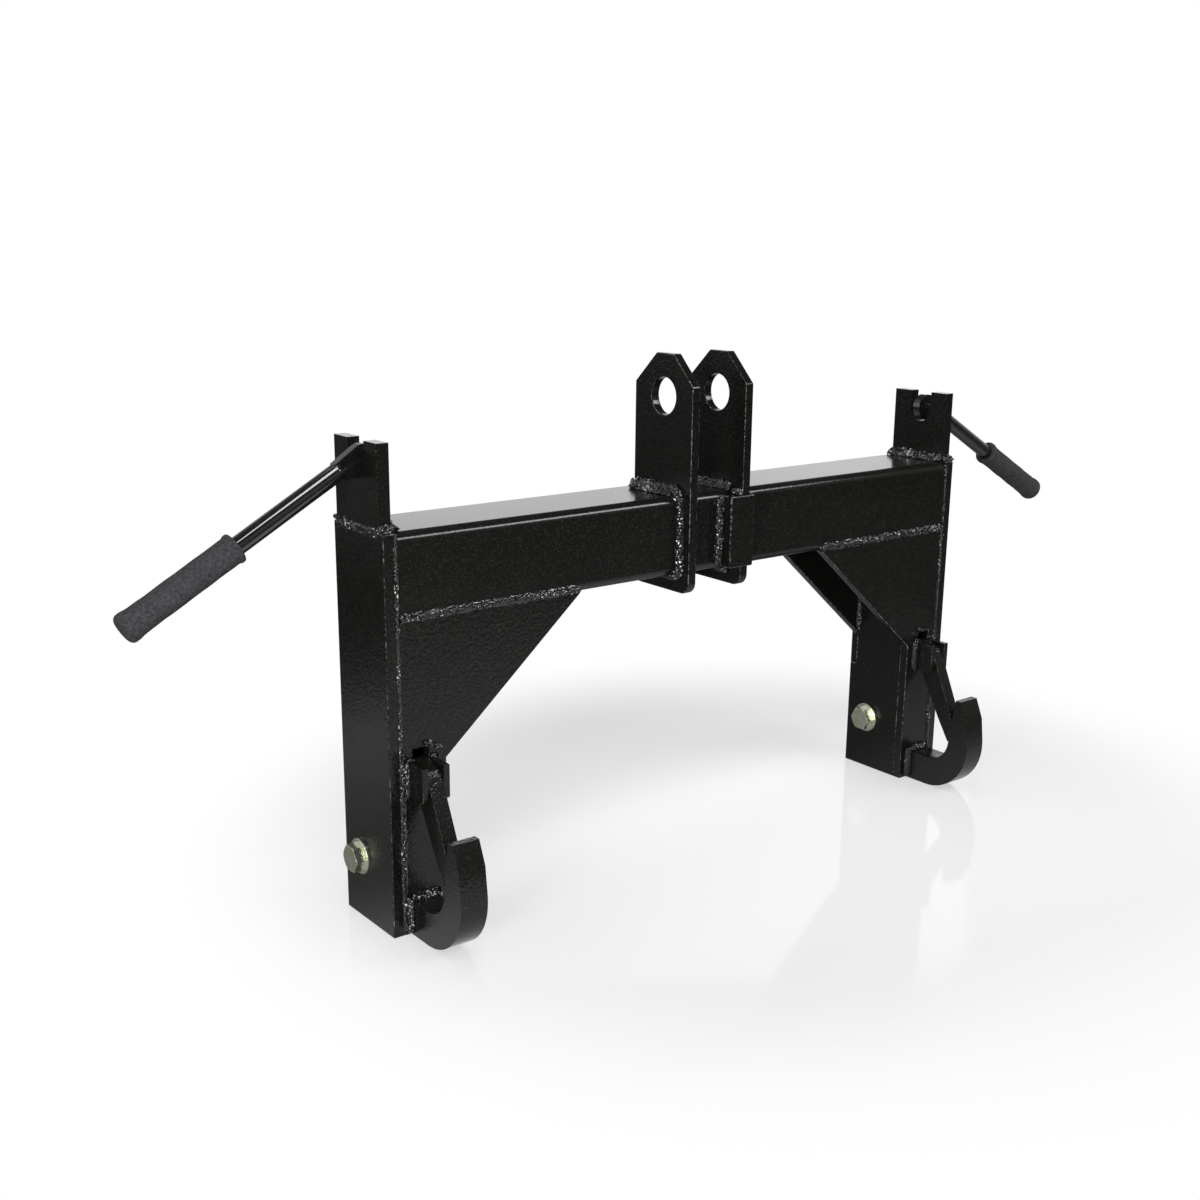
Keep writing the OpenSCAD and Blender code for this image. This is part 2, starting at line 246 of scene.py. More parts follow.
class Finish(Graph):
    """A material on Object coordinates."""

    def __init__(self, name):
        self.material = bpy.data.materials.new(name)
        self.material.use_nodes = True
        super().__init__(self.material.node_tree)
        self.place = self.node("ShaderNodeTexCoord", output="Object")

    def grain(self, scale, detail=2.0, roughness=0.5, distortion=0.0, at=None):
        """Soft noise, scale features to the metre."""
        return self.node(
            "ShaderNodeTexNoise",
            None,
            {
                "Vector": at or self.place,
                "Scale": scale,
                "Detail": detail,
                "Roughness": roughness,
                "Distortion": distortion,
            },
        )

    def cells(self, scale, smooth):
        """Rounded cells, scale cells to the metre."""
        return self.node(
            "ShaderNodeTexVoronoi",
            {"feature": "SMOOTH_F1"},
            {"Vector": self.place, "Scale": scale, "Smoothness": smooth},
        )

    def stretched(self, x, y, z):
        """Coordinates stretched for streaks."""
        return self.node("ShaderNodeMapping", None, {"Vector": self.place, "Scale": (x, y, z)})

    def bump(self, height, strength, distance):
        """A normal tilted by a height."""
        return self.node(
            "ShaderNodeBump", None, {"Height": height, "Strength": strength, "Distance": distance}
        )

    def close(self, **surface):
        """Puts the surface together and gives the material back."""
        named = {key.replace("_", " "): value for key, value in surface.items()}
        shader = self.node("ShaderNodeBsdfPrincipled", None, named)
        self.node("ShaderNodeOutputMaterial", None, {"Surface": shader})
        return self.material


def finish(name):
    """The named finish, made once."""
    made = bpy.data.materials.get(name)
    return made or FINISHES[name](name)


def scaled(shade, factor):
    """A colour, darker or lighter."""
    return tuple(c * factor for c in shade)


def powder_coat(name, peel=1.0, pebble=400.0, gloss=0.16, relief=0.00034):
    """Semi-gloss black powder coat with a leathery peel, rubbed through along some edges."""
    f = Finish(name)
    wander = f.grain(9.0, 3.0)
    fine = f.grain(pebble, 1.5, 0.5, 0.4)
    pebbles = f.cells(pebble * 0.8, 0.5)
    dull = f.spread(f.grain(3.2, 4.0, 0.6), 0.35, 0.7)
    speck = f.spread(f.grain(pebble * 1.3, 1.0, 0.6), 0.5, 0.68)
    base = tuple(colours().paint)
    dusty = tuple(min(1, c * 2.4 + 0.003) for c in base)
    paint = f.blend(dull * 0.15 + speck * 0.65, base, dusty)
    # painted highlight, partly wear: the pale dashes laid on the rounded edges below stand in for edge
    # glints as well as rubbed steel
    edge = f.node("ShaderNodeAttribute", {"attribute_name": EDGE_MARK}, None, "Fac")
    rub_and_glint_dashes = f.spread(f.grain(230.0, 2.0, 0.6), 0.45, 0.62)
    rub_and_glint_share = 0.25 + f.spread(f.grain(13.0, 2.0), 0.42, 0.6) * 0.6
    return f.close(
        Base_Color=f.blend(edge * rub_and_glint_dashes * rub_and_glint_share, paint, tuple(colours().rubbed)),
        Roughness=gloss + (wander - 0.5) * 0.1 + (fine - 0.5) * 0.12,
        IOR=1.34,
        Normal=f.bump(fine * 0.7 + pebbles * 0.5, 0.9 * peel, relief),
    )


def tube_coat(name):
    """The same paint on the drawn tube, which is smoother."""
    return powder_coat(name, peel=0.22)


def hammered_coat(name):
    """The same paint over a coarse, hammered face."""
    return powder_coat(name, pebble=430.0, gloss=0.13, relief=0.0004)


def weld_coat(name):
    """Paint over a weld: thicker, so glossier, beaded all over and chipped here and there."""
    f = Finish(name)
    beads = f.cells(300.0, 0.3)
    lumps = f.grain(220.0, 1.0, 0.5, 0.3)
    base = tuple(colours().paint)
    paint = f.blend(f.spread(lumps, 0.4, 0.7), base, scaled(base, 2.0))
    # painted highlight, partly chipped paint: clusters of pale specks stand in for the glints on the
    # weld's ripples
    chip_and_glint_clusters = f.spread(f.grain(48.0, 2.0), 0.46, 0.6)
    chips_and_glints = f.spread(f.grain(430.0, 0.0), 0.65, 0.73) * chip_and_glint_clusters
    return f.close(
        Base_Color=f.blend(chips_and_glints, paint, scaled(colours().rubbed, 2.0)),
        Roughness=0.05 + lumps * 0.04,
        IOR=1.52,
        Normal=f.bump(lumps - beads * 0.45, 1.0, 0.0004),
    )


def rod_paint(name):
    """Gloss paint on the drawn rod of a lever."""
    f = Finish(name)
    streak = f.grain(120.0, 3.0, 0.6, 0.2)
    ripple = f.grain(55.0, 2.0, 0.4)
    base = tuple(colours().rod)
    return f.close(
        Base_Color=f.blend(f.spread(streak, 0.45, 0.75), base, scaled(base, 1.8)),
        Roughness=0.06 + streak * 0.06,
        IOR=1.75,
        Normal=f.bump(ripple, 0.06, 0.0002),
    )


def grip_foam(name):
    """Closed-cell foam: matt, pitted and a little uneven in tone."""
    f = Finish(name)
    pits_to_metre = 1.0 / sizes().foam_pit
    pits = f.cells(pits_to_metre, 0.35)
    fine = f.grain(pits_to_metre * 2.1, 3.0, 0.65)
    mottle = f.grain(pits_to_metre * 0.35, 3.0, 0.6)
    base = tuple(colours().foam)
    pale = f.spread(mottle * 0.5 + fine * 0.5, 0.38, 0.62)
    return f.close(
        Base_Color=f.blend(pale, scaled(base, 0.55), scaled(base, 1.45)),
        Roughness=0.78 + fine * 0.16,
        Specular_IOR_Level=0.15,
        Normal=f.bump(pits * 0.6 + fine * 0.6, 0.85, 0.00035),
    )


def zinc_plate(name):
    """Yellowish zinc plate, patchy and finely scratched."""
    f = Finish(name)
    patch = f.grain(95.0, 4.0, 0.6, 0.6)
    scratch = f.grain(420.0, 2.0, 0.5, at=f.stretched(1.0, 3.2, 3.2))
    film = f.spread(patch, 0.38, 0.62)
    return f.close(
        Base_Color=f.blend(film, tuple(colours().zinc), tuple(colours().zinc_tint)),
        Metallic=1.0,
        Roughness=0.14 + patch * 0.16 + scratch * 0.1,
        Normal=f.bump(scratch + patch * 0.5, 0.25, 0.00012),
    )


def spring_wire(name):
    """Drawn spring wire, oiled and a little brown."""
    f = Finish(name)
    patch = f.grain(160.0, 3.0, 0.6)
    drawn = f.grain(700.0, 2.0, 0.5, at=f.stretched(1.0, 1.0, 6.0))
    base = tuple(colours().spring)
    brown = (base[0] * 0.62, base[1] * 0.5, base[2] * 0.38)
    return f.close(
        Base_Color=f.blend(f.spread(patch, 0.45, 0.7), base, brown),
        Metallic=0.9,
        Roughness=0.3 + drawn * 0.2,
        Normal=f.bump(drawn, 0.3, 0.0001),
    )


FINISHES = {
    maker.__name__: maker
    for maker in (
        powder_coat,
        tube_coat,
        hammered_coat,
        weld_coat,
        rod_paint,
        grip_foam,
        zinc_plate,
        spring_wire,
    )
}


# ---- making pieces ----


def new_piece(name, mesh, finish_name):
    """A mesh object with its finish, not yet on a body."""
    piece = bpy.data.objects.new(name, mesh)
    bpy.context.scene.collection.objects.link(piece)
    mesh.name = name
    mesh.materials.clear()
    mesh.materials.append(finish(finish_name))
    return piece


def settle(piece):
    """Applies the piece's modifiers, so that a plain mesh is left."""
    graph = bpy.context.evaluated_depsgraph_get()
    mesh = bpy.data.meshes.new_from_object(piece.evaluated_get(graph), depsgraph=graph)
    piece.modifiers.clear()
    old = piece.data
    piece.data = mesh
    bpy.data.meshes.remove(old)
    mesh.name = piece.name
    return piece


def even_shading(piece):
    """Smooth shading that keeps the big flat faces flat."""
    for polygon in piece.data.polygons:
        polygon.use_smooth = True
    weighted = piece.modifiers.new("even_shading", "WEIGHTED_NORMAL")
    weighted.mode = "FACE_AREA"
    weighted.weight = 80
    return settle(piece)


def merged(node):
    """A CAD node as one closed bmesh, its flat faces whole."""
    bm = bmesh.new()
    bm.from_mesh(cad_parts[node].data)
    for layer in list(bm.loops.layers.uv):
        bm.loops.layers.uv.remove(layer)
    bmesh.ops.remove_doubles(bm, verts=bm.verts, dist=2e-6)
    bmesh.ops.dissolve_limit(
        bm, angle_limit=math.radians(0.8), verts=bm.verts, edges=bm.edges, delimit=set()
    )
    return bm


def as_mesh(bm, name):
    """The bmesh as a mesh of its own."""
    mesh = bpy.data.meshes.new(name)
    bm.to_mesh(mesh)
    bm.free()
    return mesh


def skin(bm, rings):
    """Smooth faces from ring to ring; a ring is a closed row of vertices."""
    for a, b in zip(rings, rings[1:]):
        for k in range(len(a)):
            n = (k + 1) % len(a)
            bm.faces.new((a[k], b[k], b[n], a[n])).smooth = True


def tube(bm, rings):
    """The rings' skin with both ends closed."""
    skin(bm, rings)
    bm.faces.new(rings[0])
    bm.faces.new(reversed(rings[-1]))
    bmesh.ops.recalc_face_normals(bm, faces=bm.faces)


def eased(bm, radius, steps=2, sharper_than=40.0):
    """Rounds every edge that is sharper than the angle, and marks the middle of each rounding."""
    mark = bm.verts.layers.float.new(EDGE_MARK)
    edges = [
        e
        for e in bm.edges
        if len(e.link_faces) == 2 and e.calc_face_angle(0.0) > math.radians(sharper_than)
    ]
    made = bmesh.ops.bevel(
        bm,
        geom=edges,
        offset=radius,
        offset_type="OFFSET",
        segments=steps,
        profile=0.5,
        affect="EDGES",
        clamp_overlap=True,
    )
    rounded = set(made["faces"])
    for vertex in made["verts"]:
        vertex[mark] = float(all(face in rounded for face in vertex.link_faces))


def eased_piece(
    node, name, radius, finish_name="powder_coat", body="frame", steps=2, sharper_than=40.0
):
    """A CAD node again, with its edges rounded and its finish on."""
    bm = merged(node)
    eased(bm, radius, steps, sharper_than)
    piece = even_shading(new_piece(name, as_mesh(bm, name), finish_name))
    return put_on(piece, body, finish_name, node)


def eased_pairs(*rows):
    """Eased pieces, left ones first. A row is a node, a piece, a radius and what isn't usual."""
    for side in SIDES:
        for node, name, radius, *rest in rows:
            words = [word.format(side) for word in rest]
            eased_piece(f"{node}_{side}", name.format(side), radius, *words)


def put_on(piece, body, finish_name, *nodes):
    """Rides the piece on its body, in place of the CAD nodes."""
    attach(piece, body)
    if nodes:
        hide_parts(*nodes)
    return piece


def joined(parts):
    """Several bmeshes as one mesh."""
    mesh = bpy.data.meshes.new("joined")
    whole = bmesh.new()
    for part in parts:
        part.to_mesh(mesh)
        part.free()
        whole.from_mesh(mesh)
    whole.to_mesh(mesh)
    whole.free()
    return mesh


# ---- weld seams ----


def seam(points, outs, leg=None, wide=None, proud=None, big=1.0):
    """A weld's path. With a leg it fills a corner that the points lie in; else it lies on a joint.

    outs are the directions that the bead faces. Lengths are in millimetres and big is a ripple's
    share of the bead's height; each is one number, or one for each point.
    """
    count = len(points)

    def each(value):
        return value if isinstance(value, list) else [value] * count

    outs = outs if isinstance(outs, list) else [outs] * count
    rows = []
    for point, out, leg_mm, wide_mm, proud_mm, swollen in zip(
        points, outs, each(leg), each(wide), each(proud), each(big)
    ):
        point, out = Vector(point), Vector(out).normalized()
        if leg_mm is None:
            width, height, depth = wide_mm * MM, proud_mm * MM, FLAT_BEAD_DEPTH
        else:
            side = leg_mm * MM
            width, depth = side * 0.72, side * 0.70
            height = proud_mm * MM if proud_mm else side * 0.1
            point = point + out * depth
        rows.append((point, out, width, height, depth, swollen))
    return rows


def rising(x, y, low, high, out, **size):
    """A seam straight up."""
    return seam([(x, y, low), (x, y, high)], out, **size)


def level(x_from, x_to, y, z, out, **size):
    """A seam from side to side."""
    return seam([(x_from, y, z), (x_to, y, z)], out, **size)


def inward(x, y_from, y_to, z, out, **size):
    """A seam from front to back."""
    return seam([(x, y_from, z), (x, y_to, z)], out, **size)


def evenly(path, step):
    """The seam's points, directions and sizes again, one step apart."""
    far = [0.0]
    for a, b in zip(path, path[1:]):
        far.append(far[-1] + (b[0] - a[0]).length)
    count = max(3, round(far[-1] / step) + 1)
    result = []
    for i in range(count):
        at = far[-1] * i / (count - 1)
        k = next((j for j in range(len(path) - 1) if at <= far[j + 1] + 1e-9), len(path) - 2)
        t = (at - far[k]) / max(far[k + 1] - far[k], 1e-9)
        a, b = path[k], path[k + 1]
        sizes_here = [x + (y - x) * t for x, y in zip(a[2:], b[2:])]
        result.append((a[0].lerp(b[0], t), a[1].lerp(b[1], t).normalized(), *sizes_here))
    return result


def bead(path):
    """The body of a weld, swept along its path with uneven toes and height."""
    bm = bmesh.new()
    line = evenly(path, BEAD_STEP)
    last = len(line) - 1
    rings = []
    for i, (point, out, wide, proud, depth, _) in enumerate(line):
        ahead = line[min(i + 1, last)][0] - line[max(i - 1, 0)][0]
        across = ahead.cross(out).normalized()
        end = min(1.0, (min(i, last - i) + 0.55) / 1.6)
        swell = noise.noise(point * 240.0)
        drift = noise.noise(point * 170.0 + Vector((5, 1, 3)))
        wide *= (0.9 + 0.16 * swell) * (0.55 + 0.45 * end)
        high = proud * (0.8 + 0.5 * swell) * end
        ring = []
        for k in range(BEAD_ARC):
            angle = math.pi * k / (BEAD_ARC - 1)
            side = math.cos(angle) * wide + drift * wide * 0.14
            up = math.sin(angle) * high - BEAD_SINK
            rough = noise.noise((point + across * side) * 420.0) * proud * 0.5
            ring.append(bm.verts.new(point + across * side + out * (up + rough * math.sin(angle))))
        ring.append(bm.verts.new(point - out * depth))
        rings.append(ring)
    tube(bm, rings)
    return bm


def geometry_tree(name, inputs):
    """A geometry tree with named inputs: its graph, and a function that reads an input."""
    tree = bpy.data.node_groups.new(name, "GeometryNodeTree")
    graph = Graph(tree)
    for socket, kind in {"Geometry": "Geometry", **inputs}.items():
        tree.interface.new_socket(socket, in_out="INPUT", socket_type=f"NodeSocket{kind}")
    tree.interface.new_socket("Geometry", in_out="OUTPUT", socket_type="NodeSocketGeometry")
    start = tree.nodes.new("NodeGroupInput")

    def given(socket):
        return Value(graph, start.outputs[socket])

    return graph, given


def ripple_tree():
    """Geometry nodes that lay ripples and drops along weld paths."""
    inputs = {
        "Ripple pitch": "Float",
        "Ripple height": "Float",
        "Drop size": "Float",
        "Seed": "Int",
        "Finish": "Material",
    }
    g, given = geometry_tree("weld_ripples", inputs)

    def stored(name, kind):
        return g.node("GeometryNodeInputNamedAttribute", {"data_type": kind}, {"Name": name})

    def chance(low, high, seed):
        """A random number between low and high, its own on each point."""
        return g.node(
            "FunctionNodeRandomValue",
            {"data_type": "FLOAT"},
            {2: low, 3: high, 8: given("Seed") + seed},
            1,
        )

    def triple(x, y, z):
        return g.node("ShaderNodeCombineXYZ", None, {0: x, 1: y, 2: z})

    out = stored("out", "FLOAT_VECTOR")
    wide = stored("wide", "FLOAT")
    proud = stored("proud", "FLOAT")
    along = g.node("GeometryNodeInputTangent")
    across = g.vector("CROSS_PRODUCT", along, out)
    curve = g.node("GeometryNodeMeshToCurve", None, {0: given("Geometry")})
    upright = g.node("FunctionNodeAlignRotationToVector", {"axis": "Z"}, {"Vector": out})
    turned = g.node(
        "FunctionNodeAlignRotationToVector",
        {"axis": "X", "pivot_axis": "Z"},
        {"Rotation": upright, "Vector": along},
    )
    tilt = triple(chance(-0.25, 0.25, 7), chance(-0.5, -0.1, 6), 0.0)
    lean = g.node("FunctionNodeEulerToRotation", None, {0: tilt})
    leaning = g.node(
        "FunctionNodeRotateRotation", {"rotation_space": "LOCAL"}, {0: turned, 1: lean}
    )

    def moved(side, up):
        return g.vector("ADD", g.vector("SCALE", across, side), g.vector("SCALE", out, up))

    def laid(pitch, segments, rings, place, size):
        """Balls along the paths, a pitch apart, each with its own place and size."""
        line = g.node("GeometryNodeResampleCurve", {"mode": "LENGTH"}, {0: curve, "Length": pitch})
        points = g.node("GeometryNodeSetPosition", None, {0: line, "Offset": place})
        ball = g.node(
            "GeometryNodeMeshUVSphere", None, {"Segments": segments, "Rings": rings, "Radius": 1.0}
        )
        return g.node(
            "GeometryNodeInstanceOnPoints",
            None,
            {"Points": points, "Instance": ball, "Rotation": leaning, "Scale": size},
        )

    pitch = given("Ripple pitch")
    ripple_size = triple(
        pitch * chance(0.6, 1.3, 3),
        wide * chance(0.5, 1.0, 4),
        proud * given("Ripple height") * chance(0.65, 1.3, 5),
    )
    ripple_place = moved(wide * chance(-0.3, 0.3, 1), proud * chance(-0.35, 0.15, 2))
    drop = wide * given("Drop size")
    drop_size = triple(
        drop * chance(0.35, 1.0, 13), drop * chance(0.35, 1.0, 14), drop * chance(0.3, 0.75, 15)
    )
    drop_place = moved(wide * chance(-0.8, 0.8, 11), proud * chance(0.3, 1.0, 12))
    both = g.tree.nodes.new("GeometryNodeJoinGeometry")
    ripples = laid(pitch, 12, 7, ripple_place, ripple_size)
    drops = laid(pitch * DROPS_TO_RIPPLES, 9, 6, drop_place, drop_size)
    for part in (ripples, drops):
        g.tree.links.new(part.socket, both.inputs[0])
    real = g.node("GeometryNodeRealizeInstances", None, {0: Value(g, both.outputs[0])})
    smooth = g.node("GeometryNodeSetShadeSmooth", None, {0: real})
    painted = g.node("GeometryNodeSetMaterial", None, {0: smooth, "Material": given("Finish")})
    g.node("NodeGroupOutput", None, {0: painted})
    return g.tree


def grown(mesh, tree, values, finish_name):
    """What a geometry tree makes of a mesh, as a bmesh."""
    worker = new_piece("worker", mesh, finish_name)
    modifier = worker.modifiers.new(tree.name, "NODES")
    modifier.node_group = tree
    for item in tree.interface.items_tree:
        if item.in_out == "INPUT" and item.name in values:
            modifier[item.identifier] = values[item.name]
    settle(worker)
    bm = bmesh.new()
    bm.from_mesh(worker.data)
    bpy.data.objects.remove(worker)
    return bm


def path_mesh(paths):
    """The paths as edges, with what the ripples need stored on their points."""
    points, edges, outs, wides, prouds = [], [], [], [], []
    for path in paths:
        first = len(points)
        for i, (point, out, wide, proud, _, big) in enumerate(evenly(path, PATH_STEP)):
            clump = 1 + 0.5 * noise.noise(point * 60.0)
            points.append(point)
            outs.extend(out)
            wides.append(wide * min(1.0, 0.5 + 0.5 * clump))
            prouds.append((proud + 0.35 * MM) * big * clump)
            if i:
                edges.append((first + i - 1, first + i))
    mesh = bpy.data.meshes.new("weld_paths")
    mesh.from_pydata(points, edges, [])
    for name, kind, field, values in (
        ("out", "FLOAT_VECTOR", "vector", outs),
        ("wide", "FLOAT", "value", wides),
        ("proud", "FLOAT", "value", prouds),
    ):
        mesh.attributes.new(name, kind, "POINT").data.foreach_set(field, values)
    return mesh


def weld_piece(name, paths, body, seed):
    """All the welds of one part of the hitch, bead and ripples, as one piece."""
    size = sizes()
    values = {
        "Ripple pitch": size.ripple_pitch,
        "Ripple height": size.ripple_height,
        "Drop size": size.spatter,
        "Seed": seed,
        "Finish": finish("weld_coat"),
    }
    tree = bpy.data.node_groups.get("weld_ripples") or ripple_tree()
    ripples = grown(path_mesh(paths), tree, values, "weld_coat")
    mesh = joined([*(bead(path) for path in paths), ripples])
    for polygon in mesh.polygons:
        polygon.use_smooth = True
    return put_on(new_piece(name, mesh, "weld_coat"), body, "weld_coat")


def frame_lines():
    """The lines of the frame that the welds follow, in metres."""
    low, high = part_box("cross_beam")
    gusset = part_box("front_gusset_right")
    return {
        "front": low.y,
        "back": high.y,
        "beam_low": low.z,
        "beam_high": high.z,
        "beam_end": high.x,
        "tip": gusset[0].x,
        "gusset_back": gusset[1].y,
        "inner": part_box("inner_plate_right")[0].x,
    }


def upright_seams(side):
    """Seams of one upright: corner seams, gusset seams and the inside corners."""
    at = frame_lines()
    front, back = at["front"], at["back"]
    end, tip, inner = at["beam_end"] * side, at["tip"] * side, at["inner"] * side
    low, high = at["beam_low"], at["beam_high"]
    rear_gusset_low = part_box("rear_gusset_right")[0]
    pocket = rear_gusset_low.z
    front_in, back_in = at["gusset_back"], rear_gusset_low.y
    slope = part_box("inner_plate_right")[0].z + LEG_TOP
    corner = end - side * 0.8 * MM
    groove = low + 4.6 * MM
    across = (end - side * 4 * MM, tip + side * 2 * MM)
    sink, toe, stop = 0.3 * MM, 0.2 * MM, 3 * MM
    crown = high - 0.1 * MM
    return [
        rising(end, front + toe, LEG_TOP, high - stop, (0, -1, 0), wide=2.6, proud=1.1),
        rising(corner, front, 6 * MM, LEG_TOP, (0, -1, 0), wide=3.6, proud=1.6),
        rising(end, back - toe, pocket + 2 * MM, high - stop, (0, 1, 0), wide=2.2, proud=0.9),
        level(*across, front + sink, groove, (0, -1, 0.12), wide=4.8, proud=1.9, big=1.6),
        level(*across, back - sink, groove, (0, 1, 0.05), wide=5.0, proud=1.5, big=1.3),
        inward(end, front + 9 * MM, back - 9 * MM, crown, (0, 0, 1), wide=2.4, proud=0.8),
        rising(inner, front_in, slope, low - 2 * MM, (-side, 1, 0), leg=4.5),
        rising(inner, back_in, slope, low - 2 * MM, (-side, -1, 0), leg=4.5),
        inward(inner, front_in + stop, back_in - stop, low, (-side, 0, -1), leg=5),
    ]


def notch_seams(side):
    """Seams at the foot of a notched plate."""
    top = frame_lines()["beam_high"]
    low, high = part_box("notch_plate_right")
    inner, outer = low.x * side, high.x * side - side * 0.2 * MM
    middle = (low.x + high.x) / 2 * side
    first, last = middle - side * 4.6 * MM, middle + side * 4.6 * MM
    return [
        inward(inner, low.y + 1 * MM, high.y - 1 * MM, top, (-side, 0, 1), leg=10, big=0.55),
        inward(outer, low.y + 2 * MM, high.y - 2 * MM, top, (side, 0, 0.1), wide=5.4, proud=1.0),
        level(first, last, low.y, top, (0, -1, 1), leg=7, proud=1.3, big=1.5),
        level(first, last, high.y, top, (0, 1, 1), leg=5),
    ]


def wrapped_line(high_y):
    """Round the beam's section: over the top, down the front and back under it."""
    at = frame_lines()
    radius = 9 * MM
    line = [((high_y - 5 * MM, at["beam_high"]), (0, 1))]
    for z, first in ((at["beam_high"] - radius, 90), (at["beam_low"] + radius, 180)):
        for k in range(7):
            angle = math.radians(first + 15 * k)
            out = (math.cos(angle), math.sin(angle))
            line.append(((at["front"] + radius + radius * out[0], z + radius * out[1]), out))
    line.append(((high_y - 4 * MM, at["beam_low"]), (0, -1)))
    return line


def clevis_seams():
    """Seams of the two top plates and of the pad."""
    at = frame_lines()
    front = at["front"]
    low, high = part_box("top_plate_right")
    pad_low, pad_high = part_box("hook_pad")
    whole = wrapped_line(high.y)
    top_and_under = (whole[:4], whole[-3:])
    seams = []
    for side, parts in ((-1, (whole,)), (1, top_and_under)):
        for face, way, leg in ((high.x, 1, 12), (low.x, -1, 9)):
            for part in parts:
                points = [(face * side, y, z) for (y, z), _ in part]
                outs = [(way * side, n[0], n[1]) for _, n in part]
                legs = [leg + (7 - leg) * min(1, k / 5) for k in range(len(part))]
                bigs = [wrapped_swell(k) for k in range(len(part))]
                seams.append(seam(points, outs, leg=legs, big=bigs))
    foot, top = at["beam_low"] + 7 * MM, at["beam_high"] - 7 * MM
    short = (front - 13 * MM, front - 3 * MM)
    return seams + [
        rising(pad_low.x, front, foot, top, (-1, -0.95, 0), leg=7.6, proud=1.6, big=1.1),
        rising(pad_high.x, front, foot, top, (1, -1, 0), leg=5),
        inward(low.x, *short, pad_high.z, (-1, 0, 1), leg=6, proud=1.2, big=1.6),
    ]


def wrapped_swell(k):
    """How swollen the ripples are at a point of the wrapped line: most at the beam's two bends."""
    at_bend = 2 <= k <= 6 or 9 <= k <= 12
    return (0.55 if k < 2 else 1.0) + (0.5 if at_bend else 0.0)


def hook_seams(side):
    """Seams round a lower hook and the latch guides."""
    front = frame_lines()["front"]
    low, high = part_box("lower_hook_right")
    guide_low, guide_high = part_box("latch_guides_right")
    first, last = low.x * side + side * 2 * MM, high.x * side - side * 2 * MM
    seams = [level(first, last, front, THROAT, (0, -1, 1), leg=6.5, proud=1.2, big=1.6)]
    for x, way in ((low.x * side, -side), (high.x * side, side)):
        out = (way, -1, 0)
        seams.append(rising(x, front, 5 * MM, THROAT + 2 * MM, out, leg=6))
        seams.append(rising(x, front, guide_low.z + 1 * MM, guide_high.z - 1 * MM, out, leg=4.5))
    for x in (guide_low.x + 2 * MM, guide_high.x - 2 * MM):
        first, last = x * side - 1.2 * MM, x * side + 1.2 * MM
        seams.append(level(first, last, front, guide_high.z, (0, -1, 1), leg=3.6, proud=1.0, big=1.5))
    middle = (low.x + high.x) / 2 * side
    for x, z, wide in ((-7.0, 181.5, 4.6), (-16.5, 178.0, 3.4)):
        spot = middle + x * side * MM
        first, last = spot - 2 * MM, spot + 2 * MM
        seams.append(level(first, last, front, z * MM, (0, -1, 0.3), wide=wide, proud=2.2, big=1.6))
    return seams


# ---- operators ----


class Maker:
    """What all the operators share; their names and labels come from their classes."""

    bl_options = {"REGISTER", "UNDO"}

    def __init_subclass__(cls):
        super().__init_subclass__()
        cls.bl_idname = "hitch." + cls.__name__.removeprefix("HITCH_OT_")
        cls.bl_label = cls.__doc__.split(",")[0].split(":")[0]

    def execute(self, context):
        self.make()
        return {"FINISHED"}


class HITCH_OT_beam(Maker, bpy.types.Operator):
    """Cross beam: a tube with rolled edges"""

    def make(self):
        eased_piece("cross_beam", "beam_tube", sizes().plate_edge, "tube_coat")


class HITCH_OT_uprights(Maker, bpy.types.Operator):
    """Outer and inner plates of the two uprights"""

    def make(self):
        edge = sizes().plate_edge
        eased_pairs(
            ("outer_plate", "upright_outer_plate_{}", edge),
            ("inner_plate", "upright_inner_plate_{}", edge),
        )


class HITCH_OT_gussets(Maker, bpy.types.Operator):
    """Front and rear gusset plates"""

    def make(self):
        edge = sizes().plate_edge
        eased_pairs(
            ("front_gusset", "front_gusset_plate_{}", edge),
            ("rear_gusset", "rear_gusset_plate_{}", edge),
        )


class HITCH_OT_notch_plates(Maker, bpy.types.Operator):
    """Notched plates and the pins that the levers turn on"""

    def make(self):
        size = sizes()
        eased_pairs(
            ("notch_plate", "notched_plate_{}", size.plate_edge),
            ("lever_pin", "lever_pivot_pin_{}", size.fitting_edge),
        )


class HITCH_OT_clevis(Maker, bpy.types.Operator):
    """Top plates of the clevis and the pad in front of the right one"""

    def make(self):
        edge = sizes().plate_edge
        eased_pairs(("top_plate", "clevis_plate_{}", edge))
        eased_piece("hook_pad", "top_hook_pad", edge * 1.6)


class HITCH_OT_hooks(Maker, bpy.types.Operator):
    """Lower hooks, with a hammered face"""

    def make(self):
        eased_pairs(("lower_hook", "hook_{}", sizes().plate_edge, "hammered_coat"))


class HITCH_OT_latches(Maker, bpy.types.Operator):
    """Latch bars and arms, with the guides and pins that hold them"""

    def make(self):
        plate, fitting = sizes().plate_edge, sizes().fitting_edge
        eased_pairs(
            ("latch_bar", "latch_{}_bar", plate, "hammered_coat", "latch_{}"),
            ("latch_arm", "latch_{}_arm", fitting, "powder_coat", "latch_{}"),
            ("latch_guides", "guide_cheeks_{}", plate * 0.8),
            ("latch_pin", "latch_pivot_pin_{}", fitting),
        )


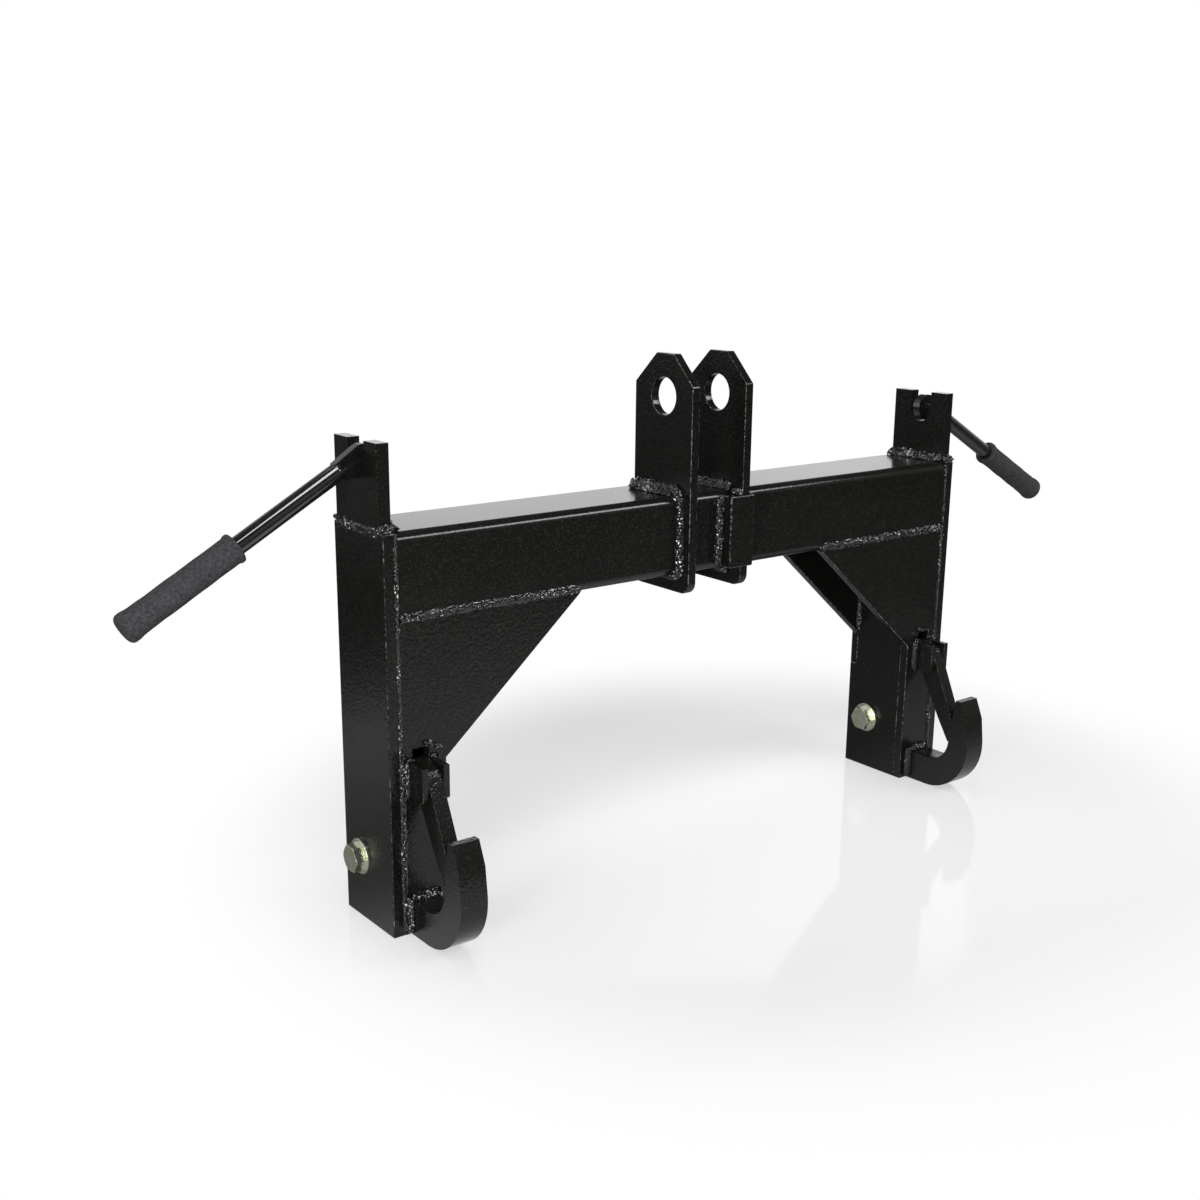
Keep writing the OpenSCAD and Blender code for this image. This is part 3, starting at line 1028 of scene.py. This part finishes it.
class HITCH_OT_springs(Maker, bpy.types.Operator):
    """Latch springs and the seats above them"""

    def make(self):
        for side in SIDES:
            eased_piece(f"spring_seat_{side}", f"spring_top_seat_{side}", sizes().fitting_edge)
            self.coil(side)

    def coil(self, side):
        """A wound spring whose first and last turns lie closed."""
        node = f"latch_spring_{side}"
        low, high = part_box(node)
        wire = sizes().spring_wire / 2
        centre = (low + high) / 2
        radius = (high.x - low.x) / 2 - wire
        turns, steps, sides = sizes().spring_turns, 28, 10
        closed = 0.75
        rise = high.z - low.z - 2 * wire
        bm = bmesh.new()
        rings = []
        for i in range(turns * steps + 1):
            t = i / steps
            lift = min(max(t - closed, 0), turns - 2 * closed) / (turns - 2 * closed)
            lift += 0.06 * (t / turns - lift) if closed < t < turns - closed else 0
            angle = 2 * math.pi * t
            middle = Vector((centre.x, centre.y, low.z + wire + rise * lift))
            spoke = Vector((math.cos(angle), math.sin(angle), 0))
            ring = []
            for k in range(sides):
                a = 2 * math.pi * k / sides
                outward, up = wire * math.cos(a), Vector((0, 0, wire * math.sin(a)))
                ring.append(bm.verts.new(middle + spoke * (radius + outward) + up))
            rings.append(ring)
        tube(bm, rings)
        piece = new_piece(f"coil_spring_{side}", as_mesh(bm, node), "spring_wire")
        put_on(piece, "frame", "spring_wire", node)
        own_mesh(piece)


def grip_line(side):
    """A lever's grip: its middle, the direction down its axis, and where it starts and ends on it."""
    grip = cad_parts[f"lever_grip_{side}"].data
    points = np.unique(np.round(np.array([v.co for v in grip.vertices], float), 6), axis=0)
    middle = points.mean(axis=0)
    low, high = points.min(axis=0), points.max(axis=0)
    middle[1] = (low[1] + high[1]) / 2
    direction = np.linalg.svd(points - middle)[2][0]
    direction[1] = 0
    direction = Vector(direction).normalized()
    if direction.z > 0:
        direction.negate()
    along = [(Vector(p) - Vector(middle)).dot(direction) for p in points]
    return Vector(middle), direction, min(along), max(along)


class HITCH_OT_rods(Maker, bpy.types.Operator):
    """Rods of the release levers, with their flat eyes"""

    def make(self):
        for side in SIDES:
            rod = (f"lever_rod_{side}", f"lever_{side}_rod", 1.1 * MM, "rod_paint", f"lever_{side}")
            eased_piece(*rod, steps=3, sharper_than=32.0)


class HITCH_OT_grips(Maker, bpy.types.Operator):
    """Foam grips, with a lip at the mouth and a rounded end"""

    ROD_RADIUS = 8.25 * MM
    SIDES_ROUND = 72
    BODY_STEPS = 44
    LIP_END = 5.3  # millimetres from the mouth
    END_RADIUS = 5.2  # millimetres

    def make(self):
        for side in SIDES:
            self.grip(side)

    def profile(self, end, lip):
        """Millimetres from the mouth and radii: mouth, lip, body, flare and round end."""
        body, flare = lip - 1.2 * MM, lip - 0.25 * MM
        lip_end, turn = self.LIP_END, self.END_RADIUS
        rows = [
            (0.6, self.ROD_RADIUS),
            (0.0, self.ROD_RADIUS + 0.9 * MM),
            (0.0, lip - 1.3 * MM),
            (0.35, lip - 0.5 * MM),
            (1.1, lip - 0.08 * MM),
            (2.4, lip),
            (3.7, lip - 0.1 * MM),
            (4.6, lip - 0.55 * MM),
            (lip_end, body + 0.1 * MM),
        ]
        for k in range(1, self.BODY_STEPS):
            d = lip_end + (end - 19) * k / self.BODY_STEPS
            rows.append((d, body + 0.12 * MM * math.sin(d * 0.21) - 0.05 * MM))
        rows += [(end - 12, body + 0.3 * MM), (end - 9.5, body + 0.75 * MM), (end - 7, flare)]
        for k in range(1, 10):
            angle = math.pi / 2 * k / 9
            radius = flare - turn * MM * (1 - math.cos(angle))
            rows.append((end - turn + turn * math.sin(angle), radius))
        return rows + [(end - 0.15, body * 0.38), (end - 0.5, body * 0.16)], body

    def grip(self, side):
        middle, along, first, last = grip_line(side)
        low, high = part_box(f"lever_grip_{side}")
        end = (last - first) / MM
        rows, body = self.profile(end, (high.y - low.y) / 2)
        spoke_a = Vector((0, 1, 0))
        spoke_b = along.cross(spoke_a).normalized()
        bm = bmesh.new()
        rings = []
        for d, radius in rows:
            centre = middle + along * (first + d * MM)
            dented = 0.8 if radius > body * 0.7 else 0.0
            ring = []
            for k in range(self.SIDES_ROUND):
                a = 2 * math.pi * k / self.SIDES_ROUND
                spoke = spoke_a * math.cos(a) + spoke_b * math.sin(a)
                point = centre + spoke * radius
                dent = noise.noise(point * 140.0) * 0.16 * MM
                dent += noise.noise(point * 420.0) * 0.07 * MM
                ring.append(bm.verts.new(point + spoke * (dent * dented - 0.08 * MM)))
            rings.append(ring)
        skin(bm, rings)
        for ring, d in ((rings[0], 0.6), (rings[-1], end - 0.6)):
            pole = bm.verts.new(middle + along * (first + d * MM))
            for k, vertex in enumerate(ring):
                bm.faces.new((vertex, ring[(k + 1) % len(ring)], pole)).smooth = True
        bmesh.ops.recalc_face_normals(bm, faces=bm.faces)
        piece = new_piece(f"lever_{side}_foam_grip", as_mesh(bm, "grip"), "grip_foam")
        put_on(piece, f"lever_{side}", "grip_foam", f"lever_grip_{side}")


def thread_tree():
    """Geometry nodes that wind a screw thread up the Z axis."""
    inputs = {"Radius": "Float", "Pitch": "Float", "Turns": "Float", "Finish": "Material"}
    g, given = geometry_tree("screw_thread", inputs)
    radius, pitch, turns = given("Radius"), given("Pitch"), given("Turns")
    spiral = g.node(
        "GeometryNodeCurveSpiral",
        None,
        {
            "Resolution": 40,
            "Rotations": turns,
            "Start Radius": radius,
            "End Radius": radius,
            "Height": pitch * turns,
        },
    )
    section = {"Resolution": 4, "Radius": pitch * 0.44}
    ridge = g.node("GeometryNodeCurvePrimitiveCircle", None, section)
    sweep = {0: spiral, "Profile Curve": ridge, "Fill Caps": True}
    swept = g.node("GeometryNodeCurveToMesh", None, sweep)
    real = g.node("GeometryNodeRealizeInstances", None, {0: swept})
    painted = g.node("GeometryNodeSetMaterial", None, {0: real, "Material": given("Finish")})
    g.node("NodeGroupOutput", None, {0: painted})
    return g.tree


class HITCH_OT_bolts(Maker, bpy.types.Operator):
    """Lower link bolts with their threads, nuts and washers"""

    BOLT_RADIUS = 8 * MM
    THREAD_TURNS = 2.2

    def make(self):
        fittings = {"lift_nut": "hex_nut", "lift_washers": "flat_washers", "lift_sleeve": "bolt_sleeve"}
        for side in SIDES:
            self.bolt(side)
            for node, name in fittings.items():
                eased_piece(f"{node}_{side}", f"{name}_{side}", sizes().fitting_edge, "zinc_plate")

    def bolt(self, side):
        node = f"lift_bolt_{side}"
        low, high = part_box(node)
        pitch = sizes().thread_pitch
        bm = merged(node)
        eased(bm, sizes().fitting_edge, sharper_than=26.0)
        start = bpy.data.meshes.new("thread")
        start.from_pydata([(0, 0, 0)], [], [])
        values = {
            "Radius": self.BOLT_RADIUS - pitch * 0.3,
            "Pitch": pitch,
            "Turns": self.THREAD_TURNS,
            "Finish": finish("zinc_plate"),
        }
        tree = bpy.data.node_groups.get("screw_thread") or thread_tree()
        thread = grown(start, tree, values, "zinc_plate")
        middle = (low + high) / 2
        foot = (high.x - pitch * self.THREAD_TURNS - 0.6 * MM, middle.y, middle.z)
        place = Matrix.Translation(foot) @ Matrix.Rotation(math.pi / 2, 4, "Y")
        bmesh.ops.transform(thread, matrix=place, verts=thread.verts)
        bmesh.ops.recalc_face_normals(thread, faces=thread.faces)
        piece = even_shading(new_piece(f"hex_bolt_{side}", joined([bm, thread]), "zinc_plate"))
        put_on(piece, "frame", "zinc_plate", node)


class HITCH_OT_welds(Maker, bpy.types.Operator):
    """Weld seams with their ripples"""

    def make(self):
        weld_piece("clevis_welds", clevis_seams(), "frame", 3)
        for side, way in SIDES.items():
            weld_piece(f"upright_welds_{side}", upright_seams(way), "frame", 7 + way)
            weld_piece(f"notch_welds_{side}", notch_seams(way), "frame", 17 + way)
            weld_piece(f"hook_welds_{side}", hook_seams(way), "frame", 27 + way)
            self.latch_head(side, way)

    def latch_head(self, side, way):
        """The lumpy weld that joins a latch's arm to its bar."""
        low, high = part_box(f"latch_bar_{side}")
        middle = (low.x + high.x) / 2
        ends = (middle - 4.6 * MM, middle + 4.6 * MM)
        front, top = frame_lines()["front"], high.z
        rows = [
            level(*ends, front + y * MM, top + z * MM, (0, -0.3, 1), wide=2.8, proud=2.0, big=1.2)
            for y, z in ((-20.3, -0.4), (-14.5, 0.4))
        ]
        weld_piece(f"latch_{side}_weld", rows, f"latch_{side}", 37 + way)


class HITCH_OT_stage(Maker, bpy.types.Operator):
    """Pale floor, soft light and the camera"""

    # a lamp's place, the point it faces, its width and its height, in metres
    LAMPS = {
        "top_light": ((-0.1, 0.4, 2.4), (0, 0, 0.2), 1.1, 1.1),
        "key_light": ((1.0, -1.5, 1.63), (0, 0, 0.3), 1.6, 0.55),
        "side_light": ((-0.5, -0.95, 2.2), (-0.1, 0, 0.3), 0.8, 0.8),
        "edge_light": ((-1.75, -1.05, 0.5), (0, 0, 0.25), 0.6, 0.6),
        "back_light": ((-0.9, 2.0, 1.5), (0, 0, 0.25), 1.9, 1.9),
        "rim_light": ((1.4, 1.75, 0.92), (0, 0, 0.36), 1.7, 0.85),
    }
    FLOOR_RADIUS = 2.2
    FLOOR_SIDES = 96
    FLOOR_DROP = 0.0004
    CAMERA_PLACE = (-0.97699, -1.08637, 0.62967)
    CAMERA_TURNS = (-38.27957, 14.79688, 0.70049)  # degrees: around, up and rolled
    LENS = 44.057
    LENS_SHIFT = (-0.01293, 0.01588)

    def make(self):
        scene = bpy.context.scene
        scene.view_settings.view_transform = "Standard"
        self.floor()
        self.world(scene)
        for name, lamp in self.LAMPS.items():
            self.lamp(name, *lamp, getattr(colours(), name))
        self.camera(scene)

    def floor(self):
        """White to the camera, grey under the hitch, and it mirrors the hitch as lacquer does."""
        bm = bmesh.new()
        r = self.FLOOR_RADIUS
        turns = [2 * math.pi * k / self.FLOOR_SIDES for k in range(self.FLOOR_SIDES)]
        rim = [(r * math.cos(a), r * math.sin(a), -self.FLOOR_DROP) for a in turns]
        bm.faces.new([bm.verts.new(point) for point in rim])
        mesh = as_mesh(bm, "studio_floor")
        floor = bpy.data.objects.new("studio_floor", mesh)
        bpy.context.scene.collection.objects.link(floor)
        f = Finish("studio_floor")
        camera, mirrored = f.rays()
        y = f.axis(f.place, 1)
        # the share of plain white, which leaves the middle to the shadows
        away = f.distance(f.place, (0.12, 0.0, 0.0))
        white = f.spread(away, 0.38, 0.66, 0.44, 1.0) + f.spread(away, 0.05, 0.4, 0.2, 0.0)
        # polished only in a band under the hitch
        off_line = f.node("ShaderNodeMath", {"operation": "ABSOLUTE"}, {0: y + 0.12})
        polish = f.spread(off_line, 0.18, 0.34, 0.07, 0.55)
        # painted light: a pool of brightness painted on the floor that only reflections see; it sets
        # how light or dark the paint looks, and is dim towards the back left
        near = f.distance(f.place, (-0.1, -0.25, 0.0))
        aside = f.distance(f.place, (-0.85, 0.5, 0.0))
        rear = f.distance(f.place, (0.5, 1.1, 0.0))
        dark = f.distance(f.place, (-1.0, 1.2, 0.0))
        painted_reflection_pool = f.spread(near, 0.1, 1.2, 0.8, 0.0) * f.spread(y, -0.05, 0.14, 1.0, 0.2)
        painted_reflection_pool = painted_reflection_pool + f.spread(aside, 0.1, 0.5, 0.4, 0.0)
        painted_reflection_pool = painted_reflection_pool * f.spread(y, 0.5, 0.76, 1.0, 0.0) + f.spread(rear, 0.2, 0.95, 0.75, 0.0)
        painted_reflection_pool = painted_reflection_pool + f.spread(dark, 0.25, 0.55, 0.03, 0.12)
        lit = f.node(
            "ShaderNodeBsdfPrincipled",
            None,
            {"Base Color": (*colours().floor, 1), "Roughness": polish, "Specular IOR Level": 1.0},
        )
        glow = {"Color": (1, 1, 1, 1), "Strength": camera + mirrored * painted_reflection_pool}
        shine = f.node("ShaderNodeEmission", None, glow)
        both = {0: camera * white + mirrored, 1: lit, 2: shine}
        mixed = f.node("ShaderNodeMixShader", None, both)
        f.node("ShaderNodeOutputMaterial", None, {"Surface": mixed})
        mesh.materials.append(f.material)

    def world(self, scene):
        """White to the camera; the paint mirrors a bright strip behind and a dimmer one in front."""
        world = bpy.data.worlds.new("studio_room")
        world.use_nodes = True
        scene.world = world
        g = Graph(world.node_tree)
        camera, mirrored = g.rays()
        way = g.node("ShaderNodeTexCoord", output="Generated")
        y, z = g.axis(way, 1), g.axis(way, 2)
        strip = g.spread(z, -0.05, 0.03, 0.15, 1.0) * g.spread(z, 0.34, 0.52, 1.0, 0.1)
        front = g.spread(z, 0.1, 0.25, 0.22, 0.32)
        backdrop = strip * g.spread(y, -0.3, 0.3, front, 0.86)
        traced = g.node("ShaderNodeMath", {"operation": "MINIMUM"}, {0: camera + mirrored, 1: 1.0})
        strength = camera + mirrored * backdrop + (1.0 - traced) * colours().room_light
        shine = g.node("ShaderNodeBackground", None, {"Color": (1, 1, 1, 1), "Strength": strength})
        g.node("ShaderNodeOutputWorld", None, {"Surface": shine})

    def lamp(self, name, place, aim, width, height, watts):
        data = bpy.data.lights.new(name, "AREA")
        data.shape = "RECTANGLE"
        data.size = width
        data.size_y = height
        data.energy = watts
        lamp = bpy.data.objects.new(name, data)
        bpy.context.scene.collection.objects.link(lamp)
        lamp.location = place
        lamp.visible_camera = False
        lamp.rotation_euler = (Vector(aim) - Vector(place)).to_track_quat("-Z", "Y").to_euler()

    def camera(self, scene):
        around, up_angle, roll = (math.radians(a) for a in self.CAMERA_TURNS)
        right = Vector((math.cos(around), math.sin(around), 0))
        flat = Vector((math.sin(around), -math.cos(around), 0))
        back = flat * math.cos(up_angle) + Vector((0, 0, math.sin(up_angle)))
        up = back.cross(right)
        right, up = (
            right * math.cos(roll) + up * math.sin(roll),
            up * math.cos(roll) - right * math.sin(roll),
        )
        data = bpy.data.cameras.new("camera")
        data.lens = self.LENS
        data.sensor_width = 36
        data.shift_x, data.shift_y = self.LENS_SHIFT
        camera = bpy.data.objects.new("camera", data)
        scene.collection.objects.link(camera)
        turned = Matrix((right, up, back)).transposed().to_4x4()
        camera.matrix_world = Matrix.Translation(self.CAMERA_PLACE) @ turned
        scene.camera = camera


PIECES = (
    HITCH_OT_beam,
    HITCH_OT_uprights,
    HITCH_OT_gussets,
    HITCH_OT_notch_plates,
    HITCH_OT_clevis,
    HITCH_OT_hooks,
    HITCH_OT_latches,
    HITCH_OT_springs,
    HITCH_OT_rods,
    HITCH_OT_grips,
    HITCH_OT_bolts,
    HITCH_OT_welds,
    HITCH_OT_stage,
)


class HITCH_PT_panel(bpy.types.Panel):
    """Sizes, colours and pieces of the quick hitch"""

    bl_idname = "HITCH_PT_panel"
    bl_label = "Quick hitch"
    bl_space_type = "VIEW_3D"
    bl_region_type = "UI"
    bl_category = "Quick hitch"

    def draw(self, context):
        layout = self.layout
        for group in (context.scene.hitch_sizes, context.scene.hitch_colours):
            column = layout.column(align=True)
            for name in group.__annotations__:
                column.prop(group, name)
        column = layout.column(align=True)
        for piece in PIECES:
            column.operator(piece.bl_idname)


def register():
    for one in (HitchSizes, HitchColours, *PIECES, HITCH_PT_panel):
        bpy.utils.register_class(one)
    bpy.types.Scene.hitch_sizes = bpy.props.PointerProperty(type=HitchSizes)
    bpy.types.Scene.hitch_colours = bpy.props.PointerProperty(type=HitchColours)


def unregister():
    del bpy.types.Scene.hitch_colours
    del bpy.types.Scene.hitch_sizes
    for one in reversed((HitchSizes, HitchColours, *PIECES, HITCH_PT_panel)):
        bpy.utils.unregister_class(one)


def main():
    register()
    for piece in PIECES:
        getattr(bpy.ops.hitch, piece.bl_idname.split(".")[1])()


if __name__ == "__main__":
    main()
